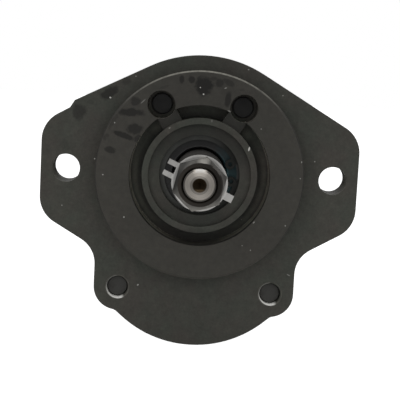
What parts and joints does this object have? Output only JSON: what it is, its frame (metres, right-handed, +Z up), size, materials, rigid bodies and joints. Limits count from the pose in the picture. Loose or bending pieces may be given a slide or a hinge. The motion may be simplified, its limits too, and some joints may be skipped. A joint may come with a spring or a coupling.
{
  "type": "tandem gear pump",
  "caption": "Tandem hydraulic gear pump with a piloted two-ear flange, tapered keyed shaft with nut and tab washer, and an inlet and an outlet on each section.",
  "frame": {"origin": "centre of the pilot, on the mounting face", "axes": "-Y out along the drive shaft, +Y back through both sections, +Z up from the driven gears to the drive gears, +X to the right seen from the shaft end"},
  "size_m": [0.1264, 0.2348, 0.1167],
  "materials": {
    "black_casting": "satin black-olive painted cast iron",
    "shaft_steel": "turned and ground steel",
    "gear_steel": "ground case-hardened steel",
    "zinc_steel": "bright zinc-plated steel",
    "key_steel": "plain key steel",
    "dark_spring_steel": "dark phosphated spring steel",
    "seal_rubber": "blue-green fluorocarbon rubber, matt",
    "seal_case_steel": "pressed steel",
    "joint_rubber": "black nitrile rubber",
    "backup_plastic": "natural thermoplastic",
    "block_aluminium": "machined aluminium alloy",
    "liner_bronze": "sintered bronze bearing lining",
    "bolt_steel": "black-oxide steel"
  },
  "bodies": {
    "housing": {"mounting_flange": "black_casting", "front_body": "black_casting", "centre_plate": "black_casting", "rear_body": "black_casting", "rear_cover": "black_casting", "seal_case": "seal_case_steel", "seal_lip": "seal_rubber", "seal_spring": "seal_case_steel", "seal_circlip": "dark_spring_steel", "flange_joint_seal": "joint_rubber", "plate_front_joint_seal": "joint_rubber", "plate_rear_joint_seal": "joint_rubber", "cover_joint_seal": "joint_rubber", "upper_bolts": "bolt_steel", "lower_bolts": "bolt_steel", "bolt_washers": "zinc_steel", "dowel_pins": "gear_steel", "front_block_fore": "block_aluminium", "front_block_aft": "block_aluminium", "front_journal_liners": "liner_bronze", "front_block_seals": "joint_rubber", "front_block_backups": "backup_plastic", "rear_block_fore": "block_aluminium", "rear_block_aft": "block_aluminium", "rear_journal_liners": "liner_bronze", "rear_block_seals": "joint_rubber", "rear_block_backups": "backup_plastic"},
    "drive_train": {"drive_shaft": "shaft_steel", "woodruff_key": "key_steel", "tab_washer": "zinc_steel", "shaft_nut": "zinc_steel", "shaft_coupling": "gear_steel", "rear_drive_gear": "gear_steel"},
    "front_idler": {"front_driven_gear": "gear_steel"},
    "rear_idler": {"rear_driven_gear": "gear_steel"}
  },
  "joints": [
    {"name": "drive_shaft_spin", "type": "hinge", "parent": "housing", "child": "drive_train", "pos_m": [0, 0.05, 0], "axis": [0, 1, 0], "continuous": true},
    {"name": "front_idler_spin", "type": "hinge", "parent": "housing", "child": "front_idler", "pos_m": [0, 0.05, -0.0381], "axis": [0, 1, 0], "continuous": true},
    {"name": "rear_idler_spin", "type": "hinge", "parent": "housing", "child": "rear_idler", "pos_m": [0, 0.05, -0.0381], "axis": [0, 1, 0], "continuous": true}
  ],
  "couplings": [
    {"joint": "front_idler_spin", "follows": "drive_shaft_spin", "ratio": -1},
    {"joint": "rear_idler_spin", "follows": "drive_shaft_spin", "ratio": -1}
  ]
}
